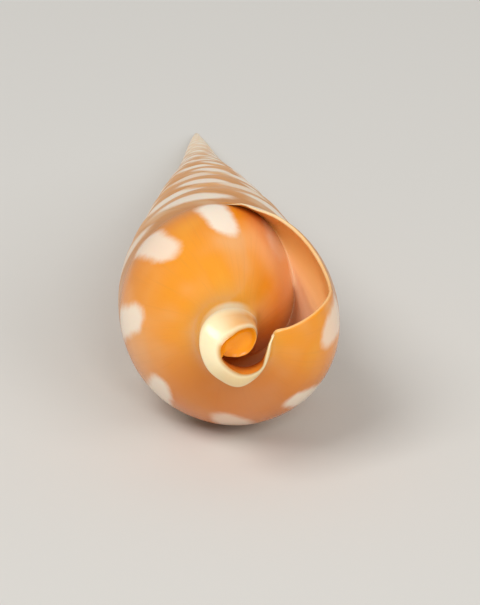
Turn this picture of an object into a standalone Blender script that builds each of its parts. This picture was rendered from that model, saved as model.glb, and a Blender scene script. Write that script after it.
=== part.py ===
# Auger shell: one closed solid, a slender right-handed spire that lies on its side.
# The shell grows from its tip by the same ratio on every turn, so each growth line is a
# larger, turned copy of the one before it.
import bpy
import bmesh
from math import cos, degrees, exp, hypot, pi, radians, sin
from mathutils import Matrix, Vector

# Driving dimensions in millimetres, in the shell's own frame: the spire's tip is at the
# origin, +Z runs down the axis to the mouth, and growth turns from +X towards +Y.
MM = 0.001
TURN_RATIO = 1.22            # size of a whorl over the size of the whorl before it
TURNS = 14                   # whorls from the tip to the lip
SUTURE_R = 9.4               # radius of the last seam where it meets the lip
SUTURE_Z = 84.5              # distance of that point from the tip of the cone
WHORL_BULGE = 0.9            # how far a whorl's side stands out of the straight cone
WHORL_FULLNESS = 0.9         # below 1 the swelling is flatter on top and steeper at the seams
SHOULDER_BULGE = 0.55        # extra swelling just below the seam
SHOULDER_PLACE = 0.14        # its place on the side, as a share of the whorl's height
SHOULDER_WIDTH = 0.09
SHOULDER_START = 0.06        # the extra swelling grows from nothing over this share
NECK_R = 3.9                 # radius of the neck above the notch
NECK_Z = 110.4
BASE_ROUNDNESS = (0.95, 1.05)   # powers of the cosine and sine: 1 and 1 is a true quarter round
TIP_Z = 1.8                  # the real tip is rounded off this far from the cone's own
LIP_EDGE = 0.45              # wall thickness at the lip
WALL = 1.1                   # wall thickness inside
THICKEN_TURN = 0.12          # the wall reaches its full thickness this many turns inside
NECK_THICKER = 1.0           # extra thickness of the wall round the neck
NECK_SHIFT = (0.65, 1.1)     # the neck's end leans this far off the axis
NECK_DRAW = 0.6              # how much less the neck's height changes with each turn

STEPS_PER_TURN = 16
STEP = 2 * pi / STEPS_PER_TURN

# The lip slants: it runs ahead at the seam and falls back towards the neck.
LIP_ANGLE = radians(24)      # where it crosses from the whorl's side to the base
NECK_LAG = radians(10)       # how far the lip falls back between the side and the neck
LIP_SLANT_STEPS = 3          # the lip's slant across the whorl's side, in steps
NOTCH_STEPS = 8              # the notch is cut back this many steps round the neck

# The whorl's side, as shares of its height from the seam above it to the seam below it.
SIDE_PLACES = (0.0, 0.07, 0.19, 0.5233, 0.8567, 1.0)
# The base, as shares of the quarter round from the side to the neck.
BASE_PLACES = (0.0, 0.12, 0.27, 0.42, 0.57, 0.72, 0.86, 1.0)

# The rim of the notch and the end of the pillar: angle round the neck's end in degrees,
# radius and height. Angles fall from the lip, round the notch, to the pillar's free end.
RIM_OUTER = (
    (14, 3.7, 111.1), (0, 3.35, 111.5), (-30, 3.4, 111.9), (-60, 3.6, 112.2), (-85, 3.8, 112.4),
    (-115, 3.4, 112.5), (-140, 3.3, 112.6), (-165, 3.3, 112.6), (-190, 3.5, 112.4),
    (-215, 3.8, 112.0), (-240, 3.7, 111.3), (-265, 3.3, 110.4), (-300, 2.9, 109.0),
    (-325, 2.6, 108.0), (-355, 2.0, 107.3), (-400, 1.6, 106.8), (-453, 1.5, 106.2),
)
RIM_INNER = (
    (14, 3.35, 111.5), (5, 3.1, 111.9), (-15, 2.9, 112.4), (-35, 3.0, 112.8), (-55, 2.7, 113.1),
    (-75, 2.3, 113.3), (-100, 1.8, 113.5), (-125, 1.55, 113.6), (-157, 1.5, 113.6),
    (-200, 1.5, 113.5), (-230, 1.45, 113.3), (-258, 1.55, 113.1), (-285, 2.1, 112.9),
    (-308, 2.65, 112.7), (-325, 2.4, 112.6), (-350, 1.75, 112.4), (-378, 1.3, 112.3),
    (-414, 0.95, 112.2), (-470, 0.9, 112.1), (-500, 1.25, 112.0), (-517, 1.4, 112.0),
)
DISH_SHRINK = 0.72           # the hollow in the pillar's end, as a share of the end
DISH_Z = 111.6
DISH_DIP = 0.1               # its middle lies this much deeper
HOLLOW_END = (radians(-128), 5.5, 99.5)   # angle, radius and height of its middle

# How it lies: turned about its own axis, then tipped so that the widest turn and the tip
# both touch the surface.
ROLL = radians(0.07)
PITCH = radians(-6.82)

SHELL_COLOUR = (0.84, 0.42, 0.12, 1.0)
SHELL_ROUGHNESS = 0.25
SHARP_EDGE = radians(40)     # edges that turn more than this stay crisp


def growth(angle):
    """Size of the growth line at an angle, against the lip's, which is at angle zero."""
    return TURN_RATIO ** (angle / (2 * pi))


def between(table, place):
    """The values of a table at a place, its first column falling from row to row."""
    for (a, *low), (b, *high) in zip(table, table[1:]):
        if place >= b:
            share = min(1.0, max(0.0, (a - place) / (a - b)))
            return [p + (q - p) * share for p, q in zip(low, high)]
    return list(table[-1][1:])


def side_point(place):
    """Radius and height on the whorl's side: a straight cone with a gentle swelling."""
    rise = TURN_RATIO - 1
    length = hypot(rise * SUTURE_R, rise * SUTURE_Z)
    out_r, out_z = rise * SUTURE_Z / length, -rise * SUTURE_R / length
    hump = ((place - SHOULDER_PLACE) / SHOULDER_WIDTH) ** 2
    swell = WHORL_BULGE * sin(pi * place) ** WHORL_FULLNESS
    swell += SHOULDER_BULGE * exp(-hump) * min(1.0, place / SHOULDER_START)
    r = SUTURE_R * (1 + rise * place) + swell * out_r
    z = SUTURE_Z * (1 + rise * place) + swell * out_z
    return r, z


def base_point(place):
    """Radius and height on the base, which rounds from the side in to the neck."""
    turn = place * pi / 2
    r0, z0 = side_point(1.0)
    return (NECK_R + (r0 - NECK_R) * cos(turn) ** BASE_ROUNDNESS[0],
            z0 + (NECK_Z - z0) * sin(turn) ** BASE_ROUNDNESS[1])


PROFILE = [side_point(p) for p in SIDE_PLACES] + [base_point(p) for p in BASE_PLACES[1:]]
SIDE_LAST = len(SIDE_PLACES) - 1
BASE_LAST = len(PROFILE) - 1


def inner_profile(thickness, neck_extra):
    """The profile moved inwards, square to itself, by the wall's thickness, and further in
    round the neck."""
    moved = []
    for c, (r, z) in enumerate(PROFILE):
        before = PROFILE[max(c - 1, 0)]
        after = PROFILE[c + 1] if c < BASE_LAST else (r, z + NECK_Z - PROFILE[c - 2][1])
        along_r, along_z = after[0] - before[0], after[1] - before[1]
        length = hypot(along_r, along_z)
        inner_r = r - thickness * along_z / length - neck_extra * inwards(c) ** 2
        moved.append((inner_r, z + thickness * along_r / length))
    return moved


def inwards(column):
    """Share of the way from the whorl's side to the neck, at a column of the profile."""
    return max(0, column - SIDE_LAST) / (BASE_LAST - SIDE_LAST)


def lip_lead(column):
    """Angle by which the lip runs ahead of the base's outer edge, behind it if negative."""
    if column >= SIDE_LAST:
        return -NECK_LAG * inwards(column) ** 2
    return LIP_SLANT_STEPS * STEP * (1 - SIDE_PLACES[column])


def place_point(column, spot, row):
    """A profile point, grown and turned to its place on a growth line. Towards the neck the
    base falls behind less on each turn, and leans off the axis with the neck."""
    r, z = spot
    angle = (row - LAST) * STEP + lip_lead(column)
    turned = angle + LIP_ANGLE
    lean = inwards(column) ** 2
    r *= growth(angle)
    z *= growth(angle * (1 - NECK_DRAW * lean))
    return Vector((r * cos(turned) + NECK_SHIFT[0] * lean,
                   r * sin(turned) + NECK_SHIFT[1] * lean, z))


def neck_point(table, row):
    """A point round the neck's end, which leans off the axis, on a growth line."""
    turned = LIP_ANGLE - NECK_LAG + (row - LAST) * STEP
    r, z = between(table, degrees(turned))
    return bm.verts.new((NECK_SHIFT[0] + r * cos(turned), NECK_SHIFT[1] + r * sin(turned), z))


bm = bmesh.new()
LAST = TURNS * STEPS_PER_TURN
LAP = STEPS_PER_TURN - LIP_SLANT_STEPS   # rows between a seam and the same seam a turn on
CAP_ROW = LAST - NOTCH_STEPS             # the mouth's hollow ends at this growth line
FIRST_BASE_ROW = CAP_ROW - LAP


def add_whorl_rows():
    """Vertices of every growth line across the whorl's side, seams shared by two whorls."""
    rows = [[None] * (BASE_LAST + 1) for _ in range(LAST + 1)]
    for row in range(LAST + 1):
        for column in range(SIDE_LAST):
            if column == 0 and row >= LAP:
                continue
            rows[row][column] = bm.verts.new(place_point(column, PROFILE[column], row))
    for row in range(LAST + 1):
        seam = bm.verts.new(place_point(SIDE_LAST, PROFILE[SIDE_LAST], row))
        rows[row][SIDE_LAST] = seam
        if row + LAP <= LAST:
            rows[row + LAP][0] = seam
    return rows


def add_base_rows(rows):
    """Vertices of the base, on the last turn and as far back as the mouth is hollow."""
    for row in range(FIRST_BASE_ROW, LAST + 1):
        for column in range(SIDE_LAST + 1, BASE_LAST + 1):
            rows[row][column] = bm.verts.new(place_point(column, PROFILE[column], row))


def add_neck_end():
    """The notch's rim and the pillar's side: an outer and an inner vertex for each row."""
    neck_rows = range(FIRST_BASE_ROW, LAST + 1)
    outer = {row: neck_point(RIM_OUTER, row) for row in neck_rows}
    inner = {row: neck_point(RIM_INNER, row) for row in neck_rows}
    return outer, inner


def add_inner_wall(rows, inner):
    """The hollow side of the last half turn's wall, from the rim back to the seam."""
    lining = {}
    for row in range(CAP_ROW, LAST + 1):
        depth = min(1.0, (LAST - row) / (THICKEN_TURN * STEPS_PER_TURN))
        profile = inner_profile(LIP_EDGE + (WALL - LIP_EDGE) * depth, NECK_THICKER * depth)
        line = [rows[row - LAP][SIDE_LAST + 1]]
        for column in range(1, BASE_LAST + 1):
            line.append(bm.verts.new(place_point(column, profile[column], row)))
        line.append(inner[row])
        lining[row] = line
    return lining


def strip(first, second):
    """Faces between two rows of vertices that run side by side."""
    for a, b, c, d in zip(first, first[1:], second[1:], second):
        corners = []
        for corner in (a, b, c, d):
            if corner not in corners:
                corners.append(corner)
        bm.faces.new(corners)


def fan(loop, centre):
    """Faces from a closed loop of vertices to one point."""
    middle = bm.verts.new(centre)
    for a, b in zip(loop, loop[1:] + loop[:1]):
        bm.faces.new((a, b, middle))


def build_shell():
    """Joins every surface of the shell into one closed skin."""
    rows = add_whorl_rows()
    add_base_rows(rows)
    outer, inner = add_neck_end()
    lining = add_inner_wall(rows, inner)

    for row in range(LAST):
        strip(rows[row][:SIDE_LAST + 1], rows[row + 1][:SIDE_LAST + 1])
    for row in range(FIRST_BASE_ROW, LAST):
        start = SIDE_LAST if row >= LAST - LAP else SIDE_LAST + 1
        strip(rows[row][start:] + [outer[row], inner[row]],
              rows[row + 1][start:] + [outer[row + 1], inner[row + 1]])
    for row in range(CAP_ROW, LAST):
        strip(lining[row], lining[row + 1])
    strip(rows[LAST] + [outer[LAST]], lining[LAST])

    # The pillar's end: its edge goes once round, and closes beside the notch's rim.
    edge = [inner[row] for row in range(CAP_ROW, FIRST_BASE_ROW - 1, -1)]
    ledge = [neck_point(RIM_INNER, FIRST_BASE_ROW - step - 1) for step in range(LIP_SLANT_STEPS)]
    edge += ledge
    middle = sum((v.co for v in edge), Vector()) / len(edge)
    dish = []
    for v in edge:
        sunk = middle + (v.co - middle) * DISH_SHRINK
        dish.append(bm.verts.new((sunk.x, sunk.y, DISH_Z)))
    strip(edge + edge[:1], dish + dish[:1])
    fan(dish, (middle.x, middle.y, DISH_Z - DISH_DIP))

    # The hollow's far end, well out of sight round the pillar: first the canal, then the rest.
    wall = lining[CAP_ROW]
    neck_corner = wall[BASE_LAST]
    canal_end = [wall[-1]] + ledge[::-1] + [inner[FIRST_BASE_ROW], outer[FIRST_BASE_ROW]]
    for a, b in zip(canal_end, canal_end[1:]):
        bm.faces.new((neck_corner, a, b))
    far_end = wall[BASE_LAST::-1] + rows[FIRST_BASE_ROW][SIDE_LAST + 2:]
    angle, r, z = HOLLOW_END
    fan(far_end + [outer[FIRST_BASE_ROW]], (r * cos(angle), r * sin(angle), z))

    # The rounded tip closes the first turn.
    first_turn = [rows[row][0] for row in range(LAP + 1)]
    fan(first_turn + rows[0][SIDE_LAST - 1:0:-1], (0, 0, TIP_Z))


def lay_down():
    """Lays the shell on its side, its mouth end to -Y, and sets it on the surface."""
    own_to_world = Matrix(((1, 0, 0), (0, 0, -1), (0, 1, 0))).to_4x4()
    lie = Matrix.Rotation(PITCH, 4, "X") @ own_to_world @ Matrix.Rotation(ROLL, 4, "Z")
    lie = Matrix.Scale(MM, 4) @ lie
    bmesh.ops.transform(bm, matrix=lie, verts=bm.verts)
    low = [min(v.co[axis] for v in bm.verts) for axis in range(3)]
    high = [max(v.co[axis] for v in bm.verts) for axis in range(3)]
    shift = Vector((-(low[0] + high[0]) / 2, -(low[1] + high[1]) / 2, -low[2]))
    bmesh.ops.translate(bm, vec=shift, verts=bm.verts)


def shell_material():
    """Glossy orange shell, one colour for the solid."""
    material = bpy.data.materials.new("orange_shell")
    material.use_nodes = True
    surface = material.node_tree.nodes["Principled BSDF"]
    surface.inputs["Base Color"].default_value = SHELL_COLOUR
    surface.inputs["Roughness"].default_value = SHELL_ROUGHNESS
    surface.inputs["Metallic"].default_value = 0.0
    return material


for thing in list(bpy.data.objects):
    bpy.data.objects.remove(thing, do_unlink=True)

build_shell()
lay_down()
bmesh.ops.triangulate(bm, faces=bm.faces)
bmesh.ops.recalc_face_normals(bm, faces=bm.faces)
mesh = bpy.data.meshes.new("shell")
bm.to_mesh(mesh)
bm.free()
mesh.shade_smooth()
mesh.set_sharp_from_angle(angle=SHARP_EDGE)
mesh.materials.append(shell_material())
shell = bpy.data.objects.new("shell", mesh)
bpy.context.scene.collection.objects.link(shell)
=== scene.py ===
# %% [markdown]
# # An auger shell on a pale table
#
# This lesson dresses one sea shell: a long pointed spire that a snail has built round and
# round an axis, with a small mouth, a notch in front of it and an orange glaze with cream
# blotches. The solid model gives its true size and place. Here the same shell is made
# again with a fine surface, its lip, notch and pillar are shaped with care, and a
# procedural glaze is painted along the lines in which the shell grew.

import bpy
from math import cos, degrees, exp, hypot, pi, radians, sin
from mathutils import Matrix, Vector


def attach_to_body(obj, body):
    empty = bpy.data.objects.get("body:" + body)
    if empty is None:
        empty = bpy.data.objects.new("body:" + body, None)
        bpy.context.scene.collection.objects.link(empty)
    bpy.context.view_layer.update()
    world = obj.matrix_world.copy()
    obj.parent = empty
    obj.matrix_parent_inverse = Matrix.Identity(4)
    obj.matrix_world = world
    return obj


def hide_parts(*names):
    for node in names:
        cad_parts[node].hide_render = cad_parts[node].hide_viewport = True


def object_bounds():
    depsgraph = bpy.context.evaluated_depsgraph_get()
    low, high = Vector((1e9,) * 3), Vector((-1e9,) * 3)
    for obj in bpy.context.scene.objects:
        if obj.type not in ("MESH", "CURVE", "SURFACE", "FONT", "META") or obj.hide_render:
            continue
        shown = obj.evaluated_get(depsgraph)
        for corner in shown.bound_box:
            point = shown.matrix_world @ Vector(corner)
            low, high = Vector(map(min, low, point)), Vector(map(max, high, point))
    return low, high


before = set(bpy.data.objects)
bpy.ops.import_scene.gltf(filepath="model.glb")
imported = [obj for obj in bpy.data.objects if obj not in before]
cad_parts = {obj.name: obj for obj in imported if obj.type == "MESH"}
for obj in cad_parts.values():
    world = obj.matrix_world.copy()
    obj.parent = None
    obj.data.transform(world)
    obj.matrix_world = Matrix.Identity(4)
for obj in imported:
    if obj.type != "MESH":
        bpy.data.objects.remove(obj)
solid_low, solid_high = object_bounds()
solid_sides = [round((b - a) * 1000, 1) for a, b in zip(solid_low, solid_high)]
print("the solid measures, in mm:", solid_sides)

# %% [markdown]
# ## How a shell grows
#
# A snail adds a little to the edge of its mouth and turns as it does so. Each turn is
# larger than the one before by the same ratio, so every growth line is a copy of the last
# one, turned and enlarged. Blender's screw operator repeats a profile at one size, so it
# can make a spring but not a shell. Here the growth lines are computed instead, one after
# the other, from a profile across the whorl. Lengths are in millimetres, in the shell's
# own frame: the spire's tip is at the origin and the axis runs along +Z to the mouth.

# %% The turns and the growth lines
MM = 0.001
TURN_RATIO = 1.22            # size of a whorl over the size of the whorl before it
TURNS = 15                   # whorls from the tip to the lip
ROWS_PER_TURN = 160          # growth lines in a turn
STEP = 2 * pi / ROWS_PER_TURN
LAST = TURNS * ROWS_PER_TURN
LIP_ANGLE = radians(24)      # where the lip crosses from the whorl's side to the base
SLANT_ROWS = 28              # the lip's slant across the whorl's side, in growth lines
NOTCH_ROWS = 76              # the notch is cut back this many growth lines round the neck
LAP = ROWS_PER_TURN - SLANT_ROWS    # rows between a seam and the same seam a turn on
CAP_ROW = LAST - NOTCH_ROWS         # the mouth's hollow ends at this growth line
FIRST_BASE_ROW = CAP_ROW - LAP      # the oldest growth line whose base can be seen


def growth(angle):
    """Size of a growth line against the lip's, which is at angle zero."""
    return TURN_RATIO ** (angle / (2 * pi))


def smooth(share):
    """An even change from 0 to 1 that starts and ends gently."""
    share = min(1.0, max(0.0, share))
    return share * share * (3 - 2 * share)


def hump(value, middle, width):
    """A soft hump that is 1 in its middle and fades to 0 on both sides."""
    return exp(-((value - middle) / width) ** 2)


print(TURNS, "turns of", ROWS_PER_TURN, "growth lines")

# %% [markdown]
# ## The profile of a whorl
#
# From the seam above it a whorl's side swells a little, most of all in a soft shoulder just
# below the seam. The base rounds in from the side to the neck. Both are written as one
# curve by a place that runs from 0 to 1 on the side and from 1 to 2 on the base, so that
# one number names the same spot on every growth line. The painting uses it later.

# %% Radius and height along the profile
SEAM_R = 9.4                 # radius of the last seam where it meets the lip
SEAM_Z = 84.5                # distance of that point from the tip of the cone
WHORL_BULGE = 0.9            # how far a whorl's side stands out of the straight cone
WHORL_FULLNESS = 0.9         # below 1 the swelling is flatter on top and steeper at the seams
SHOULDER_BULGE = 0.55        # extra swelling just below the seam
SHOULDER_PLACE = 0.14        # its place on the side, as a share of the whorl's height
SHOULDER_WIDTH = 0.09
SHOULDER_START = 0.06        # the extra swelling grows from nothing over this share
SEAM_STEP = 0.2              # below its seam a whorl stands out this far, as a small step
SEAM_STEP_FULL = 0.02        # the place where the step has its full size
SEAM_STEP_GONE = 0.12        # and the place where it has run out into the side
NECK_R = 3.9                 # radius of the neck behind the notch
NECK_Z = 110.4
BASE_ROUNDNESS = (0.95, 1.05)    # powers of the cosine and sine: 1 and 1 is a true quarter round


def side_point(place):
    """Radius and height on the whorl's side: a straight cone with a gentle swelling."""
    rise = TURN_RATIO - 1
    length = hypot(rise * SEAM_R, rise * SEAM_Z)
    out_r, out_z = rise * SEAM_Z / length, -rise * SEAM_R / length
    shoulder = hump(place, SHOULDER_PLACE, SHOULDER_WIDTH) * min(1.0, place / SHOULDER_START)
    step = smooth(place / SEAM_STEP_FULL) * (1 - smooth(place / SEAM_STEP_GONE))
    swell = WHORL_BULGE * sin(pi * place) ** WHORL_FULLNESS if 0 < place < 1 else 0.0
    swell += SHOULDER_BULGE * shoulder + SEAM_STEP * step
    size = 1 + rise * place
    return SEAM_R * size + swell * out_r, SEAM_Z * size + swell * out_z


def base_point(place):
    """Radius and height on the base, at places from 0 at the side to 1 at the neck."""
    turn = place * pi / 2
    r0, z0 = side_point(1.0)
    across, down = max(0.0, cos(turn)), sin(turn)
    return (NECK_R + (r0 - NECK_R) * across ** BASE_ROUNDNESS[0],
            z0 + (NECK_Z - z0) * down ** BASE_ROUNDNESS[1])


def profile_point(place):
    """Radius and height anywhere on the profile, from 0 to 2."""
    return side_point(place) if place <= 1 else base_point(place - 1)


print("the whorl is widest at", round(max(profile_point(k / 50)[0] for k in range(100)), 2), "mm")

# %% [markdown]
# ## From the profile to a growth line
#
# Each growth line is the profile, turned and made smaller with age. A real shell is less
# regular than that: its lip slants and turns a soft corner, the neck leans off the axis, the
# newest stretch is flatter below the seam, and the old shoulders are worn. Each of these is
# one small term in the function that places a spot.

# %% A spot on a growth line
NECK_LAG = radians(10)       # how far the lip falls back between the side and the neck
LIP_CORNER = 0.06            # how softly the lip turns from its slant to the base
NECK_SHIFT = (0.65, 1.1)     # the neck's end leans this far off the axis
NECK_DRAW = 0.6              # how much less the neck's height changes with each turn
LIP_DIP = 0.55               # near the lip the whorl is this much flatter below the seam
LIP_DIP_PLACE = 0.13
LIP_DIP_WIDTH = 0.16
LIP_DIP_ROWS = 34            # the flat stretch is this many growth lines long
WORN_SHOULDER = 0.5          # wear takes this much off the shoulder, at the lip's size
WEAR_START = 2.4             # it starts this many turns behind the lip
WEAR_SPAN = 6.0              # and is full this many turns further back
WAIST = 0.12                 # the spire is narrower by this share at its waist
WAIST_HEIGHT = 0.3           # where the waist is, as a share of the last seam's distance
WAIST_WIDTH = 0.17


def lip_lead(place):
    """Angle by which the slanting lip runs ahead of the base's outer edge."""
    short = 1 - place
    slant = (short + hypot(short, LIP_CORNER)) / 2
    return SLANT_ROWS * STEP * slant - NECK_LAG * max(0.0, -short) ** 2


def on_growth_line(place, spot, row):
    """A spot of the profile, grown and turned to its place on a growth line."""
    r, z = spot
    angle = (row - LAST) * STEP + lip_lead(place)
    lean = max(0.0, place - 1) ** 2
    near_lip = 1 - smooth((LAST - row) / LIP_DIP_ROWS)
    worn = smooth(((LAST - row) / ROWS_PER_TURN - WEAR_START) / WEAR_SPAN)
    r -= LIP_DIP * near_lip * hump(place, LIP_DIP_PLACE, LIP_DIP_WIDTH)
    r -= WORN_SHOULDER * worn * hump(place, SHOULDER_PLACE, SHOULDER_WIDTH)
    r *= growth(angle)
    z *= growth(angle * (1 - NECK_DRAW * lean))
    r *= 1 - WAIST * hump(z / SEAM_Z, WAIST_HEIGHT, WAIST_WIDTH)
    turned = angle + LIP_ANGLE
    return Vector((r * cos(turned) + NECK_SHIFT[0] * lean,
                   r * sin(turned) + NECK_SHIFT[1] * lean, z))


print("the lip slants", round(degrees(SLANT_ROWS * STEP)), "degrees across the whorl's side")

# %% The columns across the profile
# They stand close together in the seam and on the shoulder, where the side curves most.
SIDE_PLACES = [0.0, 0.008, 0.018, 0.032, 0.05, 0.075, 0.105, 0.14, 0.18, 0.22, 0.27, 0.33,
               0.40, 0.47, 0.55, 0.63, 0.71, 0.79, 0.86, 0.92, 0.965, 1.0]
SIDE_LAST = len(SIDE_PLACES) - 1
FIRST_COLUMNS = 5            # columns on the base from the seam to the foot of the lining
LATER_COLUMNS = 24           # and from there to the neck
BASE_END = 0.86              # the hollow curve to the neck begins at this share of the base
BASE_LAST = SIDE_LAST + FIRST_COLUMNS + LATER_COLUMNS
NARROW_START = 0.012         # the lining's foot at the lip, as a share of the base
WIDE_START = 0.55            # and deep in the mouth
WIDEN_ROWS = (30, 40)        # it widens over this many growth lines, inwards and outwards


def base_places(row):
    """Places on the base at a growth line. The first few columns end where the mouth's
    lining meets the whorl inside it, which is close to the seam at the lip only."""
    inside = LAST - LAP - row
    widen_rows = WIDEN_ROWS[0] if inside >= 0 else WIDEN_ROWS[1]
    start = NARROW_START + (WIDE_START - NARROW_START) * smooth(abs(inside) / widen_rows)
    first = [start * k / FIRST_COLUMNS for k in range(1, FIRST_COLUMNS + 1)]
    later = [start + (BASE_END - start) * k / LATER_COLUMNS for k in range(1, LATER_COLUMNS + 1)]
    return [1 + p for p in first + later]


print(SIDE_LAST + 1, "columns on the side and", FIRST_COLUMNS + LATER_COLUMNS, "on the base")

# %% [markdown]
# ## The rim of the notch and the end of the pillar
#
# In front of the mouth the base draws in to a short neck. Its end is notched, and the
# edge of the notch is a broad cream band that winds inwards like a figure six until it
# becomes the end of the pillar, the column round which the shell turns. Two edges describe
# it, an outer and an inner one, each by its radius and height at angles round the neck.
# The angles fall from the lip, round the notch, to the pillar's free end.

# %% The two edges of the band
# Each row is an angle in degrees, a radius and a height, chosen for this notch.
RIM_OUTER = (
    (14, 3.88, 111.0), (5, 3.45, 111.35), (-8, 3.34, 111.65), (-30, 3.4, 111.9),
    (-60, 3.6, 112.2), (-85, 3.8, 112.4),
    (-115, 3.4, 112.5), (-140, 3.3, 112.6), (-165, 3.3, 112.6), (-190, 3.5, 112.4),
    (-215, 3.8, 112.0), (-240, 3.7, 111.3), (-265, 3.3, 110.4), (-300, 2.9, 109.0),
    (-325, 2.6, 108.0), (-355, 2.0, 107.3), (-400, 1.6, 106.8), (-453, 1.5, 106.2),
)
RIM_INNER = (
    (14, 3.52, 111.35), (5, 3.13, 111.85), (-15, 2.9, 112.4), (-35, 3.0, 112.8), (-55, 2.7, 113.1),
    (-75, 2.3, 113.3), (-100, 1.8, 113.5), (-125, 1.55, 113.6), (-157, 1.5, 113.6),
    (-200, 1.5, 113.5), (-230, 1.45, 113.3), (-258, 1.55, 113.1), (-285, 2.1, 112.9),
    (-308, 2.65, 112.7), (-325, 2.4, 112.6), (-350, 1.75, 112.4), (-378, 1.3, 112.3),
    (-414, 0.95, 112.2), (-470, 0.9, 112.1), (-500, 1.25, 112.0), (-517, 1.4, 112.0),
)


def along(table, place):
    """Values of a table at a place, on a smooth curve through its rows."""
    last = len(table) - 1
    k = 0
    while k < last - 1 and place < table[k + 1][0]:
        k += 1
    a, b = table[k], table[k + 1]
    before, after = table[max(k - 1, 0)], table[min(k + 2, last)]
    share = min(1.0, max(0.0, (a[0] - place) / (a[0] - b[0])))
    values = []
    for c in range(1, len(a)):
        leave = (b[c] - before[c]) / (before[0] - b[0]) * (a[0] - b[0])
        arrive = (after[c] - a[c]) / (a[0] - after[0]) * (a[0] - b[0])
        s2, s3 = share * share, share ** 3
        values.append((2 * s3 - 3 * s2 + 1) * a[c] + (s3 - 2 * s2 + share) * leave
                      + (3 * s2 - 2 * s3) * b[c] + (s3 - s2) * arrive)
    return values


def neck_spot(table, row):
    """A point of one of the two edges, at a growth line."""
    turned = LIP_ANGLE - NECK_LAG + (row - LAST) * STEP
    r, z = along(table, degrees(turned))
    return Vector((NECK_SHIFT[0] + r * cos(turned), NECK_SHIFT[1] + r * sin(turned), z))


print("the notch runs", round(NOTCH_ROWS * degrees(STEP)), "degrees round the neck")

# %% [markdown]
# ## A mesh that remembers where it grew
#
# Every face corner keeps four numbers: the turn on which it grew, its place across the
# profile, how much cream edge it has, and how far inside the mouth it lies. They are kept
# on the corners and not on the vertices, because at a seam one vertex ends a whorl and
# begins the next, and its numbers differ on the two sides. Two UV maps carry them.

# %% Vertices, faces and what the corners remember
points = []
faces = []
memories = []


def add_point(spot):
    """Keeps a new vertex and returns its number."""
    points.append(spot)
    return len(points) - 1


def add_face(corners):
    """Keeps a face, unless its corners fall together. A corner is a vertex number, turn,
    place, cream and inside."""
    kept = []
    for corner in corners:
        if corner[0] not in [k[0] for k in kept]:
            kept.append(corner)
    if len(kept) > 2:
        faces.append([k[0] for k in kept])
        memories.extend(k[1:] for k in kept)


def strip(first, second):
    """Faces between two rows of corners that run side by side."""
    for a, b, c, d in zip(first, first[1:], second[1:], second):
        add_face((a, b, c, d))


def turn_of(row):
    """The turn of a growth line: 0 at the lip and falling towards the tip."""
    return (row - LAST) / ROWS_PER_TURN


def curve(start, bend, end, share):
    """A point on the curve that leaves start and reaches end, drawn towards bend."""
    return start * (1 - share) ** 2 + bend * (2 * share * (1 - share)) + end * share ** 2


print("growth lines are counted from 0 at the tip to", LAST, "at the lip")

# %% The whorls and the base
def build_sides():
    """Corners of every growth line across the side. Seams are shared by two whorls."""
    rows = [[None] * (SIDE_LAST + 1) for _ in range(LAST + 1)]
    for row in range(LAST + 1):
        for column in range(SIDE_LAST + 1):
            if column == 0 and row >= LAP:
                shared = rows[row - LAP][SIDE_LAST][0]
                rows[row][0] = (shared, turn_of(row), 0.0, 0.0, 0.0)
                continue
            place = SIDE_PLACES[column]
            spot = on_growth_line(place, side_point(place), row)
            rows[row][column] = (add_point(spot), turn_of(row), place, 0.0, 0.0)
    for row in range(LAST):
        strip(rows[row], rows[row + 1])
    return rows


def build_base(rows):
    """Adds the base's corners to the growth lines that show it or bear the lining."""
    for row in range(FIRST_BASE_ROW, LAST + 1):
        for place in base_places(row):
            spot = on_growth_line(place, base_point(place - 1), row)
            rows[row].append((add_point(spot), turn_of(row), place, 0.0, 0.0))


side_rows = build_sides()
build_base(side_rows)
print(len(points), "vertices on the whorls")

# %% [markdown]
# ## From the base to the band
#
# The base meets the neck in a small hollow curve, the neck rises to the band's outer edge,
# and the band's face turns over to the inner edge. Both edges are rounded a little, as
# everything on a shell is, but the outer one stays crisp where the notch was last mended.
# The places count on past the base: up the neck, over the edge, across the band's face to
# its inner edge, and into the dish behind it.

# %% The neck and the band
NECK_BEND = 6                # columns in the hollow curve between the base and the neck
NECK_FOOT = 0.45             # the curve ends at this share of the way up the neck
NECK_RISE = (0.5, 0.75)      # two more columns, at these shares of the rest
BAND_SPOTS = 5               # columns on the band's face
CRISP = 0.13                 # size of the rounding on the outer edge, round the notch
SOFT = 0.7                   # and on the ridge that it becomes further round the neck
SOFT_START = -185            # angle in degrees at which the ridge starts to soften
SOFT_SPAN = 70
ROUNDING_SHARES = (0.0, 0.35, 0.65, 1.0)    # where the rounding's columns lie along it
ROUNDING_MOST = 0.4          # a rounding takes no more than this share of a narrow face
INNER_ROUNDING = 0.12        # size of the rounding on the inner edge
BAND_CROWN = 0.12            # the band's face stands up this much in its middle
NECK_PLACES = 0.3            # the neck takes places from 2 to 2.3
EDGE_PLACE = 2.35
BAND_START = 2.4
BAND_END = 2.9
RIM_PLACE = 2.95
DISH_PLACE = 3.0
RIM_INSIDE = 0.3             # the inner edge belongs a little to the inside of the mouth


def neck_place(share):
    """The place along the curve from the base's last column to the neck."""
    return 1 + BASE_END + (1 - BASE_END) * share


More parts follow.
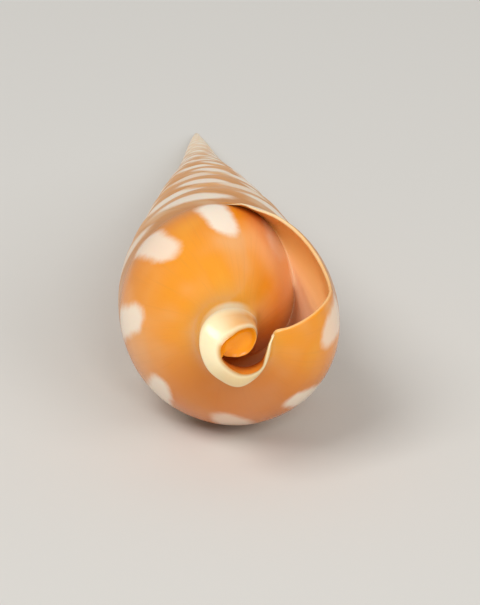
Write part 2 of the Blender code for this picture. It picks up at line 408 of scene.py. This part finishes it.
def build_neck(rows):
    """Adds the neck's side and the band's face to the growth lines of the base."""
    for row in range(FIRST_BASE_ROW, LAST + 1):
        angle = degrees(LIP_ANGLE - NECK_LAG + (row - LAST) * STEP)
        outer, inner = neck_spot(RIM_OUTER, row), neck_spot(RIM_INNER, row)
        start = points[rows[row][-1][0]]
        root = on_growth_line(2.0, base_point(1.0), row)
        foot = root.lerp(outer, NECK_FOOT)
        turn = turn_of(row)
        for k in range(1, NECK_BEND + 1):
            spot = curve(start, root, foot, k / NECK_BEND)
            rows[row].append((add_point(spot), turn, neck_place(k / NECK_BEND), 0.0, 0.0))
        for share in NECK_RISE:
            spot = foot.lerp(outer, share)
            rows[row].append((add_point(spot), turn, 2.0 + NECK_PLACES * share, 0.0, 0.0))
        size = CRISP + (SOFT - CRISP) * smooth((SOFT_START - angle) / SOFT_SPAN)
        narrow = min((outer - foot).length, (inner - outer).length)
        size = min(size, ROUNDING_MOST * narrow)
        near = outer + (foot - outer).normalized() * size
        far = outer + (inner - outer).normalized() * size
        for k, share in enumerate(ROUNDING_SHARES):
            spot = curve(near, outer, far, share)
            cream = k / (len(ROUNDING_SHARES) - 1)
            rows[row].append((add_point(spot), turn, EDGE_PLACE, cream, 0.0))
        crown = (inner - outer).cross(Vector((sin(radians(angle)), -cos(radians(angle)), 0)))
        crown = -crown.normalized() if crown.z < 0 else crown.normalized()
        inner_size = min(INNER_ROUNDING, ROUNDING_MOST / 2 * (inner - outer).length)
        edge = inner + (outer - inner).normalized() * inner_size
        for k in range(1, BAND_SPOTS + 1):
            share = k / BAND_SPOTS
            spot = far.lerp(edge, share) + crown * (BAND_CROWN * sin(pi * share))
            across = BAND_START + (BAND_END - BAND_START) * share
            rows[row].append((add_point(spot), turn, across, 1.0, 0.0))


build_neck(side_rows)
OUTER_LAST = len(side_rows[LAST]) - 1 - BAND_SPOTS
rim = {row: (add_point(neck_spot(RIM_INNER, row)), turn_of(row), RIM_PLACE, 1.0, RIM_INSIDE)
       for row in range(FIRST_BASE_ROW, LAST + 1)}
for row in range(FIRST_BASE_ROW, LAST):
    start = SIDE_LAST if row >= LAST - LAP else SIDE_LAST + FIRST_COLUMNS
    strip(side_rows[row][start:] + [rim[row]], side_rows[row + 1][start:] + [rim[row + 1]])
print(len(faces), "faces so far")

# %% [markdown]
# ## The mouth's lining
#
# The last half turn is a thin wall. Its inner face follows the outer one at the wall's
# thickness, thin at the lip and thicker inside. Where it meets the whorl within, the snail
# has filled the corner with glaze, so the lining starts with a hollow curve there.

# %% The hollow side of the wall
LIP_EDGE = 0.36              # wall thickness at the lip
WALL = 1.1                   # wall thickness inside
THICKEN_ROWS = 20            # the wall reaches its full thickness over this many growth lines
NECK_THICKER = 1.0           # extra thickness of the wall round the neck
SEAM_THINNER = 0.75          # at the lip's upper end the edge thins by this share
SEAM_THIN_PLACE = 0.5        # and has its full thickness from this place on
PLACE_GAP = 0.004            # the wall's direction is measured over this much on both sides
FILLET_PLACES = (0.1, 0.84)  # the hollow curve ends at these places, at the lip and inside
FILLET_BEND = 0.03           # the place towards which it is drawn
FILLET_FULL = 0.6            # inside, the glaze fills this share of the corner


def lining_point(place, row, depth):
    """A point of the profile moved inwards by the wall's thickness."""
    before = profile_point(max(0.001, place - PLACE_GAP))
    after = profile_point(min(1.999, place + PLACE_GAP))
    along_r, along_z = after[0] - before[0], after[1] - before[1]
    length = hypot(along_r, along_z)
    thin_start = 1 - (1 - depth) * (1 - smooth(place / SEAM_THIN_PLACE)) * SEAM_THINNER
    thickness = (LIP_EDGE + (WALL - LIP_EDGE) * depth) * thin_start
    r, z = profile_point(place)
    inwards = max(0.0, place - 1) ** 2
    r -= thickness * along_z / length + NECK_THICKER * depth * inwards
    z += thickness * along_r / length
    return on_growth_line(place, (r, z), row)


def build_lining(rows):
    """Corners of the mouth's lining, from the whorl within it to the notch's rim."""
    lining = {}
    for row in range(CAP_ROW, LAST + 1):
        depth = smooth((LAST - row) / THICKEN_ROWS)
        turn = turn_of(row)
        attach = rows[row - LAP][SIDE_LAST + FIRST_COLUMNS]
        line = [(attach[0], turn, 0.0, 0.0, 1.0)]
        fillet_end = FILLET_PLACES[0] + (FILLET_PLACES[1] - FILLET_PLACES[0]) * depth
        far = lining_point(fillet_end, row, depth)
        bend = lining_point(FILLET_BEND, row, depth)
        bend = bend.lerp((points[attach[0]] + far) / 2, FILLET_FULL * depth)
        for column in range(1, BASE_LAST + 1):
            place = rows[row][column][2]
            if place < fillet_end:
                spot = curve(points[attach[0]], bend, far, place / fillet_end)
            else:
                spot = lining_point(place, row, depth)
            line.append((add_point(spot), turn, place, 0.0, 1.0))
        start, end = points[line[-1][0]], points[rim[row][0]]
        neck_columns = OUTER_LAST - BASE_LAST
        bend = lining_point(2.0, row, depth)
        bend = bend.lerp(Vector((end.x, end.y, bend.z)), 0.5)
        for k in range(1, neck_columns + 1):
            spot = curve(start, bend, end, k / (neck_columns + 1))
            across = 2.0 + (BAND_END - 2.0) * k / neck_columns
            line.append((add_point(spot), turn, across, 0.0, 1.0))
        line.append(rim[row][:4] + (1.0,))
        lining[row] = line
    for row in range(CAP_ROW, LAST):
        strip(lining[row], lining[row + 1])
    return lining


lining = build_lining(side_rows)
print("the lining reaches", round(degrees(NOTCH_ROWS * STEP)), "degrees into the mouth")

# %% [markdown]
# ## The lip's edge
#
# The outer lip is a thin rounded edge. The outer and the inner face are joined by three
# rows of points that stand a little forward, as half of an ellipse.

# %% The rounded lip
LIP_ROUNDS = 3               # rows of points between the outer and the inner face
LIP_FORWARD = 0.45           # how far they stand forward, as a share of the edge's thickness


def build_lip(rows):
    """Joins the last growth line to the lining's front row with a rounded edge."""
    outer = rows[LAST][:OUTER_LAST + 1]
    inner = lining[LAST][:OUTER_LAST + 1]
    lines = [[corner[:3] + (1.0, 0.0) for corner in outer]]
    for k in range(1, LIP_ROUNDS + 1):
        angle = pi * k / (LIP_ROUNDS + 1)
        line = []
        for a, b in zip(outer, inner):
            p, q = points[a[0]], points[b[0]]
            ahead = Vector((-p.y, p.x, 0)).normalized()
            spot = p.lerp(q, (1 - cos(angle)) / 2)
            spot += ahead * (sin(angle) * LIP_FORWARD * (p - q).length)
            line.append((add_point(spot), 0.0, a[2], 1.0, RIM_INSIDE))
        lines.append(line)
    lines.append([corner[:3] + (1.0, 1.0) for corner in inner])
    for first, second in zip(lines, lines[1:]):
        strip(first, second)
    seam_row = rows[LAST - LAP][SIDE_LAST:SIDE_LAST + FIRST_COLUMNS + 1]
    start = [line[0] for line in lines]
    upper_end = start[:-1] + seam_row[::-1]
    add_face([(c[0], 0.0, 1.0, 1.0, RIM_INSIDE) for c in upper_end])
    face_end = rows[LAST][OUTER_LAST:]
    end = [line[-1] for line in lines]
    lower_end = face_end + [rim[LAST]] + end[::-1]
    add_face([(c[0], 0.0, BAND_START, 1.0, RIM_INSIDE) for c in lower_end])


build_lip(side_rows)
print("the lip's edge is", LIP_EDGE, "mm thick")

# %% [markdown]
# ## The pillar's end
#
# Inside the six the pillar ends in a small dish. Its edge goes once round and closes
# beside the notch's rim. Rings of points sink from the edge to the dish's middle.

# %% The dish
DISH_Z = 112.0               # height of the dish's floor
# Each ring has its size against the edge, and the share of the depth that it has sunk.
DISH_RINGS = ((0.94, 0.12), (0.86, 0.42), (0.76, 0.72), (0.62, 0.9), (0.42, 0.98), (0.2, 1.0))


def fan(loop, centre):
    """Faces from a closed loop of corners to one point."""
    middle = (add_point(Vector(centre)),) + tuple(loop[0][1:])
    for a, b in zip(loop, loop[1:] + loop[:1]):
        add_face((a, b, middle))


def build_dish():
    """The end of the pillar. Returns the part of its edge beside the notch's rim."""
    edge = [rim[row] for row in range(CAP_ROW, FIRST_BASE_ROW - 1, -1)]
    ledge = []
    for k in range(1, SLANT_ROWS + 1):
        row = FIRST_BASE_ROW - k
        spot = neck_spot(RIM_INNER, row)
        ledge.append((add_point(spot), turn_of(row), RIM_PLACE, 1.0, RIM_INSIDE))
    edge = edge + ledge
    middle = sum((points[c[0]] for c in edge), Vector()) / len(edge)
    outer = [c[:2] + (DISH_PLACE, 1.0, 0.0) for c in edge]
    for size, sink in DISH_RINGS:
        inner = []
        for corner in edge:
            spot = middle + (points[corner[0]] - middle) * size
            spot.z = points[corner[0]].z * (1 - sink) + DISH_Z * sink
            inner.append((add_point(spot), corner[1], DISH_PLACE + 1 - size, 0.0, 0.0))
        strip(outer + outer[:1], inner + inner[:1])
        outer = inner
    fan(outer, (middle.x, middle.y, DISH_Z))
    return ledge


pillar_ledge = build_dish()
print("the dish has", len(DISH_RINGS), "rings")

# %% [markdown]
# ## The hollow's far end and the tip
#
# A real shell is hollow almost to its tip. Nobody sees further in than half a turn, so the
# hollow is closed there by a fan of faces, out of sight. At the other end the first turn is
# closed by a small dome, because a real tip is always rubbed round.

# %% Closing the mesh
HOLLOW_END = (radians(-128), 5.5, 99.5)     # angle, radius and height of the fan's middle
TIP_Z = 1.8                  # the real tip is rounded off this far from the cone's own
# Each ring has its size against the first turn, and the share of the height it has risen.
TIP_RINGS = ((0.8, 0.45), (0.5, 0.8), (0.22, 0.96))


def build_hollow_end(ledge):
    """Closes the hollow round the pillar, out of sight."""
    wall = lining[CAP_ROW]
    corner = wall[BASE_LAST]
    first = side_rows[FIRST_BASE_ROW]
    canal = wall[BASE_LAST + 1:] + ledge[::-1] + [rim[FIRST_BASE_ROW]] + first[:BASE_LAST:-1]
    canal = canal[:-(NECK_BEND + len(NECK_RISE))]
    for a, b in zip(canal, canal[1:]):
        add_face((corner, a, b))
    first_shown = SIDE_LAST + FIRST_COLUMNS + 1
    rest = wall[BASE_LAST::-1] + first[first_shown:BASE_LAST + NECK_BEND + len(NECK_RISE) + 2]
    angle, r, z = HOLLOW_END
    fan([c[:4] + (1.0,) for c in rest], (r * cos(angle), r * sin(angle), z))


def build_tip():
    """A small dome over the first turn."""
    loop = [side_rows[row][0] for row in range(LAP + 1)]
    loop += side_rows[0][SIDE_LAST - 1:0:-1]
    for size, rise in TIP_RINGS:
        ring = []
        for corner in loop:
            spot = points[corner[0]].copy()
            spot.x, spot.y = spot.x * size, spot.y * size
            spot.z += (TIP_Z - spot.z) * rise
            ring.append((add_point(spot),) + tuple(corner[1:]))
        strip(loop + loop[:1], ring + ring[:1])
        loop = ring
    fan(loop, (0, 0, TIP_Z))


build_hollow_end(pillar_ledge)
build_tip()
print(len(points), "vertices and", len(faces), "faces")

# %% [markdown]
# ## Laying the shell down
#
# The shell lies on its side, on its widest whorl and on its tip. The solid model has flat
# facets there, and the fine surface is a little rounder, so it is tipped 0.16 degrees
# further to touch the table and not to sink into it. The solid's tip is its furthest point
# along +Y, and the two tips are put together.

# %% From the shell's own frame to the table
ROLL = radians(0.07)         # turn about the shell's own axis
PITCH = radians(-6.98)       # tip that lays its cone along the table
PIECE = "auger_shell"


def laying_matrix():
    """The move from the shell's own frame in millimetres to the table in metres."""
    lie = Matrix(((1, 0, 0), (0, 0, -1), (0, 1, 0))).to_4x4()
    lie = Matrix.Rotation(PITCH, 4, "X") @ lie @ Matrix.Rotation(ROLL, 4, "Z")
    lie = Matrix.Scale(MM, 4) @ lie
    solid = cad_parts["shell"]
    solid_tip = max((v.co for v in solid.data.vertices), key=lambda spot: spot.y)
    return Matrix.Translation(solid_tip - lie @ Vector((0, 0, TIP_Z))) @ lie


own_to_table = laying_matrix()
print("the tip rests at", [round(c * 1000, 2) for c in own_to_table @ Vector((0, 0, TIP_Z))], "mm")

# %% The mesh
SHARP_EDGE = radians(50)     # edges that turn more than this stay crisp

bpy.ops.object.select_all(action="DESELECT")
mesh = bpy.data.meshes.new(PIECE)
mesh.from_pydata([own_to_table @ p for p in points], [], faces)
grown = mesh.uv_layers.new(name="growth")
finish = mesh.uv_layers.new(name="finish")
for k, (turn, place, cream, inside) in enumerate(memories):
    grown.data[k].uv = (turn, place)
    finish.data[k].uv = (cream, inside)
shell = bpy.data.objects.new(PIECE, mesh)
bpy.context.scene.collection.objects.link(shell)

bpy.context.view_layer.objects.active = shell
shell.select_set(True)
bpy.ops.object.mode_set(mode="EDIT")
bpy.ops.mesh.select_all(action="SELECT")
bpy.ops.mesh.delete_loose()
bpy.ops.mesh.select_all(action="SELECT")
bpy.ops.mesh.quads_convert_to_tris()
bpy.ops.mesh.normals_make_consistent(inside=False)
bpy.ops.object.mode_set(mode="OBJECT")
bpy.ops.object.shade_smooth_by_angle(angle=SHARP_EDGE)
shell.select_set(False)
print(len(mesh.polygons), "triangles")

# %% Hand over from the solid
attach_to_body(shell, "root")
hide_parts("shell")
print("the fine shell is shown in place of the solid")

# %% [markdown]
# ## The glaze
#
# The shell is aragonite, a hard mineral that the snail lays down in sheets and covers with
# a smooth glaze. It reflects like porcelain, and light sinks a little way into it. The
# colours are painted by turn and place, the numbers that the mesh remembers, so every mark
# follows the growth of the shell and gets smaller towards the tip by itself.

# %% Colours and a helper for nodes
def linear(code):
    """The linear colour of an sRGB hex code."""
    channels = [int(code[k:k + 2], 16) / 255 for k in (1, 3, 5)]
    return tuple(c / 12.92 if c <= 0.04045 else ((c + 0.055) / 1.055) ** 2.4
                 for c in channels) + (1.0,)


def add_node(tree, kind, settings=None, inputs=None):
    """Adds a node and fills its sockets, each with a number, a colour or a link."""
    node = tree.nodes.new(kind)
    for name, value in (settings or {}).items():
        setattr(node, name, value)
    for name, value in (inputs or {}).items():
        if isinstance(value, bpy.types.NodeSocket):
            tree.links.new(value, node.inputs[name])
        else:
            node.inputs[name].default_value = value
    return node


# Glazed aragonite: hard and dense, so the eye sees a porcelain shine over a soft depth.
glaze = bpy.data.materials.new("glazed_aragonite")
glaze.use_nodes = True
tree = glaze.node_tree
surface = tree.nodes["Principled BSDF"]


def calc(operation, first, second=0.0):
    """One step of arithmetic."""
    node = add_node(tree, "ShaderNodeMath", {"operation": operation}, {0: first, 1: second})
    return node.outputs[0]


def fade(value, zero, one):
    """Changes softly from 0 to 1 while the value goes from zero to one."""
    node = add_node(tree, "ShaderNodeMapRange", {"interpolation_type": "SMOOTHSTEP"},
                    {"Value": value, "From Min": zero, "From Max": one})
    return node.outputs["Result"]


def tint(share, under, over):
    """Covers one colour with another by a share."""
    node = add_node(tree, "ShaderNodeMix", {"data_type": "RGBA"}, {0: share, 6: under, 7: over})
    return node.outputs[2]


def stops(value, colours):
    """A colour that changes along a value from 0 to 1."""
    node = add_node(tree, "ShaderNodeValToRGB", None, {"Fac": value})
    ramp = node.color_ramp
    while len(ramp.elements) < len(colours):
        ramp.elements.new(1.0)
    for element, (spot, code) in zip(ramp.elements, colours):
        element.position = spot
        element.color = linear(code)
    return node.outputs["Color"]


def grain(across, along, detail=2.0, roughness=0.5):
    """Noise in growth coordinates: so many grains in a turn, and so many across a place."""
    vector = add_node(tree, "ShaderNodeCombineXYZ", None,
                      {"X": calc("MULTIPLY", turn, across), "Y": calc("MULTIPLY", place, along)})
    node = add_node(tree, "ShaderNodeTexNoise", None,
                    {"Vector": vector.outputs[0], "Scale": 1.0, "Detail": detail,
                     "Roughness": roughness})
    return node.outputs["Fac"]


def read_map(name):
    """The two numbers that a UV map keeps."""
    uv = add_node(tree, "ShaderNodeUVMap", {"uv_map": name})
    split = add_node(tree, "ShaderNodeSeparateXYZ", None, {"Vector": uv.outputs[0]})
    return split.outputs["X"], split.outputs["Y"]


turn, place = read_map("growth")
cream, inside = read_map("finish")
print("the glaze is painted by turn, place, cream and inside")

# %% [markdown]
# ## Rows of cream blotches
#
# The marks stand in rows that wind round with the whorls. Along a row each mark has a cell
# of its own. The number of the cell gives it a small shift, a size and a strength, so no
# two are alike and every run paints them the same.

# %% The rows
CELL = 0.1275                # a blotch and the gap beside it take this share of a turn
SIDE_CELL = CELL * 1.15      # on the whorl's side the blotches stand a little further apart
EDGE_GRAIN = (34.0, 9.0)     # the ragged edge has grains this fine, along and across
EDGE_WANDER = 0.55           # and wanders by this share of the blotch
LUCK_SHIFT = 0.14            # chance moves a blotch in its cell by up to half of this
LUCK_SIZE = (0.8, 0.3)       # its size is the first value and up to the second more
LUCK_STRENGTH = (0.75, 0.25)     # and so is its strength
BLOTCH_EDGE = (1.3, 0.6)     # distance from its middle at which a blotch ends, and is full

wander = calc("MULTIPLY", calc("SUBTRACT", grain(*EDGE_GRAIN, 3.0, 0.6), 0.5), EDGE_WANDER)


def blotch_row(middle, core, radius, width, cell, phase, slope, shuffle):
    """A row of blotches round the whorls: 1 on a blotch, 0 between them. Core and radius
    are the blotch's height, straight and round part, and width is a share of its cell."""
    along = calc("ADD", calc("DIVIDE", turn, cell), phase)
    number = calc("FLOOR", along)
    luck = add_node(tree, "ShaderNodeTexWhiteNoise", {"noise_dimensions": "1D"},
                    {"W": calc("ADD", number, shuffle)})
    chance = add_node(tree, "ShaderNodeSeparateColor", None, {"Color": luck.outputs["Color"]})
    shift = calc("MULTIPLY", calc("SUBTRACT", chance.outputs[0], 0.5), LUCK_SHIFT)
    x = calc("ADD", calc("SUBTRACT", calc("SUBTRACT", along, number), 0.5), shift)
    rise = calc("SUBTRACT", place, middle)
    x = calc("ADD", x, calc("MULTIPLY", rise, slope))
    y = calc("MAXIMUM", calc("SUBTRACT", calc("ABSOLUTE", rise), core), 0.0)
    size = calc("ADD", calc("MULTIPLY", chance.outputs[1], LUCK_SIZE[1]), LUCK_SIZE[0])
    far_x = calc("DIVIDE", x, calc("MULTIPLY", size, width))
    far_y = calc("DIVIDE", y, calc("MULTIPLY", size, radius))
    far_x = calc("MULTIPLY", far_x, far_x)
    far_y = calc("MULTIPLY", far_y, far_y)
    far = calc("SQRT", calc("ADD", far_x, far_y))
    mark = fade(calc("ADD", far, wander), *BLOTCH_EDGE)
    strength = calc("MULTIPLY", fade(chance.outputs[2], 0.08, 0.4), LUCK_STRENGTH[1])
    return calc("MULTIPLY", mark, calc("ADD", strength, LUCK_STRENGTH[0]))


base_row = blotch_row(middle=1.27, core=0.13, radius=0.15, width=0.23,
                      cell=CELL, phase=0.83, slope=0.35, shuffle=11.0)
lower_row = blotch_row(middle=0.72, core=0.03, radius=0.13, width=0.3,
                       cell=SIDE_CELL, phase=0.1, slope=0.9, shuffle=37.0)
upper_row = blotch_row(middle=0.24, core=0.03, radius=0.11, width=0.34,
                       cell=SIDE_CELL, phase=0.45, slope=0.9, shuffle=5.0)

# Inside the mouth fresh glaze lies over the marks of the whorl within.
glazed_over = calc("SUBTRACT", 1.0, calc("MULTIPLY", fade(turn, -0.87, -0.93), 0.6))
base_row = calc("MULTIPLY", base_row, glazed_over)
outside = calc("SUBTRACT", 1.0, inside)
blotches = calc("MAXIMUM", base_row, calc("MAXIMUM", lower_row, upper_row))
blotches = calc("MULTIPLY", blotches, calc("MULTIPLY", outside, fade(place, 2.0, 1.7)))
print("three rows of blotches,", round(1 / CELL, 1), "marks in a turn on the base")

# %% [markdown]
# ## The ground colour
#
# Along the spiral it pales to ivory at the old tip, and deepens with painted shade where the pillar
# winds into the mouth. Fine growth lines, slightly slanted, run over the side.

# %% The ground across the profile
PLACES = 3.6                 # the colour ramp covers places from 0 to this

across_colours = (
    (0.0 / PLACES, "#A8733C"), (0.02 / PLACES, "#D9A66B"), (0.12 / PLACES, "#EAB272"),
    (0.3 / PLACES, "#E1994A"), (0.62 / PLACES, "#DE943C"), (0.97 / PLACES, "#C8843E"),
    (1.2 / PLACES, "#E2881C"), (1.55 / PLACES, "#F09414"), (1.85 / PLACES, "#F09616"),
    (2.1 / PLACES, "#EEA838"), (2.3 / PLACES, "#EFC176"), (2.38 / PLACES, "#F3E2BC"),
    (2.8 / PLACES, "#F6E6BE"),
    (2.93 / PLACES, "#CF9340"), (3.05 / PLACES, "#E58E14"), (3.4 / PLACES, "#F59A0C"),
)
ground = stops(calc("DIVIDE", place, PLACES), across_colours)
print(len(across_colours), "colours from the seam to the dish")

# %% Clouds and growth lines
# Cloudy changes along the spiral: paler amber glaze here, yellower there.
cloud = grain(5.0, 1.4, 2.0, 0.5)
base_only = calc("MULTIPLY", fade(place, 1.05, 1.4), fade(place, 2.1, 1.8))
ground = tint(calc("MULTIPLY", fade(cloud, 0.42, 0.72), calc("MULTIPLY", base_only, 0.75)),
              ground, linear("#EDB277"))
ground = tint(calc("MULTIPLY", fade(cloud, 0.5, 0.28), calc("MULTIPLY", base_only, 0.6)),
              ground, linear("#F2A52A"))
pale_side = calc("MULTIPLY", fade(grain(9.0, 2.0), 0.52, 0.7), fade(place, 1.1, 0.9))
ground = tint(calc("MULTIPLY", pale_side, 0.5), ground, linear("#E9C9A0"))

# The growth lines are thin, and darker than the glaze between them.
lines = grain(120.0, 1.1, 3.0, 0.6)
side_only = fade(place, 1.15, 0.85)
line_strength = calc("ADD", calc("MULTIPLY", side_only, 0.27), 0.08)
ground = tint(calc("MULTIPLY", fade(lines, 0.5, 0.3), line_strength), ground, linear("#A8743C"))

# The spire pales with age.
ground = tint(calc("MULTIPLY", fade(turn, -3.0, -10.0), 0.7), ground, linear("#FFEFD0"))
print("the growth lines and clouds lie over the ground")

# %% Behind the mouth and on the pillar, with painted glow and painted shade
# Turns are counted back from the lip: half a turn in is -0.5, the whorl within is -1.
# The whorl within is rosy where the mouth opens on it: painted glow of light shining through the thin
# shell.
rosy_painted_glow = calc("MULTIPLY", fade(turn, -0.84, -0.93), fade(turn, -1.2, -1.02))
rosy_painted_glow = calc("MULTIPLY", rosy_painted_glow, calc("MULTIPLY", fade(place, 1.1, 1.3), fade(place, 1.85, 1.55)))
ground = tint(calc("MULTIPLY", rosy_painted_glow, 0.85), ground, linear("#F6C08A"))

# Deeper in, the whorl within and the pillar are a darker orange, but not the dish: painted shade of
# the deep mouth and canal.
not_dish = fade(place, 2.99, 2.92)
behind = calc("MULTIPLY", calc("MULTIPLY", fade(turn, -1.0, -1.35), fade(place, 1.3, 1.8)), not_dish)
ground = tint(behind, ground, linear("#EE861A"))
pillar = calc("MULTIPLY", calc("MULTIPLY", fade(turn, -1.1, -1.45), fade(place, 1.5, 2.0)), not_dish)
ground = tint(pillar, ground, linear("#D8680C"))

# The newest part of the base, under the notch, is a deeper orange: painted shade on the base's
# underside, which faces away from the lamps.
under = calc("MULTIPLY", fade(turn, -0.55, -0.36), fade(turn, -0.05, -0.2))
under = calc("MULTIPLY", under, calc("MULTIPLY", fade(place, 0.9, 1.3), fade(place, 2.35, 2.0)))
ground = tint(calc("MULTIPLY", under, 0.6), ground, linear("#C8660A"))

# A cream patch lies on the neck above the pillar, partly cream glaze and partly a painted highlight.
neck_cream_and_highlight = calc("MULTIPLY", fade(place, 2.0, 2.15), fade(turn, -0.55, -0.75))
neck_cream_and_highlight = calc("MULTIPLY", neck_cream_and_highlight, fade(turn, -0.9, -0.8))
neck_cream_and_highlight = calc("MULTIPLY", neck_cream_and_highlight, fade(place, 2.4, 2.3))
ground = tint(calc("MULTIPLY", neck_cream_and_highlight, 0.8), ground, linear("#F0DEB8"))
outer_skin = tint(calc("MULTIPLY", blotches, 0.9), ground, linear("#F7EAD6"))
print("the outside has its ground and its blotches")

# %% The cream edges and the lining
# The edge of the lip and of the notch is cream, in places ochre.
cream_edge = tint(fade(turn, -0.48, -0.3), linear("#F5E2B6"), linear("#EBCB92"))
cream_edge = tint(fade(turn, -0.64, -0.84), cream_edge, linear("#E0932E"))
at_lip = calc("MULTIPLY", fade(place, 0.35, 0.8), fade(turn, -0.06, -0.03))
pale_rim = calc("SUBTRACT", 0.8, calc("MULTIPLY", at_lip, 0.5))
outer_skin = tint(calc("MULTIPLY", calc("MULTIPLY", cream, pale_rim), fade(place, 2.9, 2.7)),
                  outer_skin, cream_edge)

# The mouth's lining is orange at the lip, pinkish further in, where the pink is painted glow of light
# shining through the thin wall, and orange again in the canal, where the shade and its own
# reflections turn it red brown.
lining_colour = tint(fade(turn, -0.06, -0.16), linear("#F7BE6C"), linear("#FAD0A6"))
lining_colour = tint(fade(turn, -0.26, -0.45), lining_colour, linear("#F0922C"))
lining_colour = tint(fade(place, 1.3, 2.1), lining_colour, linear("#F79A32"))
lining_edge = calc("MULTIPLY", fade(inside, 0.9, 0.4), pale_rim)
lining_colour = tint(lining_edge, lining_colour, linear("#F8EACB"))
skin = tint(fade(inside, 0.15, 0.5), outer_skin, lining_colour)
tree.links.new(skin, surface.inputs["Base Color"])
print("the outside and the lining meet on the lip's edge")

# %% [markdown]
# ## Gloss, glow and fine relief
#
# The base is glazed and bright, the older side is worn to a satin. Light enters the shell
# and spreads a millimetre or so, red light the furthest, which softens the shadows in the
# mouth. Aragonite bends light a little more than glass does. The growth lines stand out by
# a few hundredths of a millimetre.

# %% Gloss and relief
GLAZED = 0.13                # roughness of fresh glaze
CLOUDED = 0.12               # cloudy places are rougher by up to this
WORN_MATT = 0.2              # and the whorl's side by this
RELIEF = 0.00018             # height in metres of a relief with the value 1

worn = calc("MULTIPLY", side_only, WORN_MATT)
dull = calc("ADD", calc("ADD", calc("MULTIPLY", cloud, CLOUDED), GLAZED), worn)
tree.links.new(dull, surface.inputs["Roughness"])

# A dry shell shines a little less than china, with a thin hard film of glaze on top.
surface.inputs["Specular IOR Level"].default_value = 0.36
surface.inputs["IOR"].default_value = 1.55
surface.inputs["Coat Weight"].default_value = 0.12
surface.inputs["Coat Roughness"].default_value = 0.12

# The radius gives the reach of red, green and blue light, and the scale is in metres.
surface.inputs["Subsurface Weight"].default_value = 0.1
surface.inputs["Subsurface Radius"].default_value = (1.0, 0.45, 0.2)
surface.inputs["Subsurface Scale"].default_value = 0.0012

relief = calc("ADD", calc("MULTIPLY", lines, line_strength), calc("MULTIPLY", grain(40.0, 1.2), 0.25))
bump = add_node(tree, "ShaderNodeBump", None,
                {"Strength": 0.5, "Distance": RELIEF, "Height": relief})
tree.links.new(bump.outputs["Normal"], surface.inputs["Normal"])
mesh.materials.append(glaze)
print(len(tree.nodes), "nodes in the glaze")

# %% [markdown]
# ## The table, the light and the camera
#
# A small glossy thing mirrors whatever stands round it, so the studio is kept plain: a pale
# paper table, a white sky and three square lamps. The large lamp at the left models the
# round base, the one at the right keeps the far side open, and the smallest, above the
# camera, shines into the mouth and the canal. The camera has a long lens and looks almost
# along the shell, down on its mouth end, as the photograph does.

# %% The table
bpy.ops.mesh.primitive_plane_add(size=6.0, location=(0, 0, 0))
floor = bpy.context.object
floor.name = "table"

# Matt paper scatters light evenly, so the eye sees a soft shadow and no mirror image.
card = bpy.data.materials.new("matt_paper")
card.use_nodes = True
paper = card.node_tree.nodes["Principled BSDF"]
paper.inputs["Base Color"].default_value = linear("#D4D1CB")
paper.inputs["Roughness"].default_value = 0.8
floor.data.materials.append(card)
print("the table is", round(floor.dimensions.x, 1), "m wide")

# %% The light
def add_softbox(name, spot, aim, size, watts):
    """A square lamp that points at a spot."""
    lamp = bpy.data.lights.new(name, "AREA")
    lamp.energy = watts
    lamp.size = size
    holder = bpy.data.objects.new(name, lamp)
    bpy.context.scene.collection.objects.link(holder)
    holder.location = spot
    holder.rotation_euler = (Vector(aim) - Vector(spot)).to_track_quat("-Z", "Y").to_euler()


# Each lamp has its place and aim in metres, its width in metres and its power in watts.
add_softbox("key_light", (-0.75, -0.75, 1.3), (0, -0.02, 0.01), 0.8, 15.0)
add_softbox("front_light", (0.8, -1.1, 0.8), (0, -0.04, 0.01), 0.7, 7.0)
add_softbox("mouth_light", (0.2, -1.2, 0.75), (0, -0.05, 0.015), 0.3, 4.0)
world = bpy.data.worlds.new("studio")
world.use_nodes = True
world.node_tree.nodes["Background"].inputs["Color"].default_value = (1, 1, 1, 1)
world.node_tree.nodes["Background"].inputs["Strength"].default_value = 0.4
bpy.context.scene.world = world
print(len(bpy.data.lights), "lamps and a white sky")

# %% The camera
# The spot, in metres, and the turn, in degrees, are those at which the shell's outline falls
# on its outline in the photograph.
CAMERA_SPOT = (-0.012099, -0.323418, 0.124301)
CAMERA_TURN = (68.7482, -0.9652, -2.2931)
LENS = 230.25                # focal length in millimetres
SENSOR = 36.0                # width of the sensor in millimetres

camera_data = bpy.data.cameras.new("camera")
camera = bpy.data.objects.new("camera", camera_data)
bpy.context.scene.collection.objects.link(camera)
camera.location = CAMERA_SPOT
camera.rotation_euler = [radians(turned) for turned in CAMERA_TURN]
camera_data.sensor_fit = "HORIZONTAL"
camera_data.sensor_width = SENSOR
camera_data.lens = LENS
camera_data.clip_start = 0.01
bpy.context.scene.camera = camera
bpy.context.scene.view_settings.view_transform = "Standard"
print("the camera stands", round(camera.location.length, 2), "m from the shell's middle")
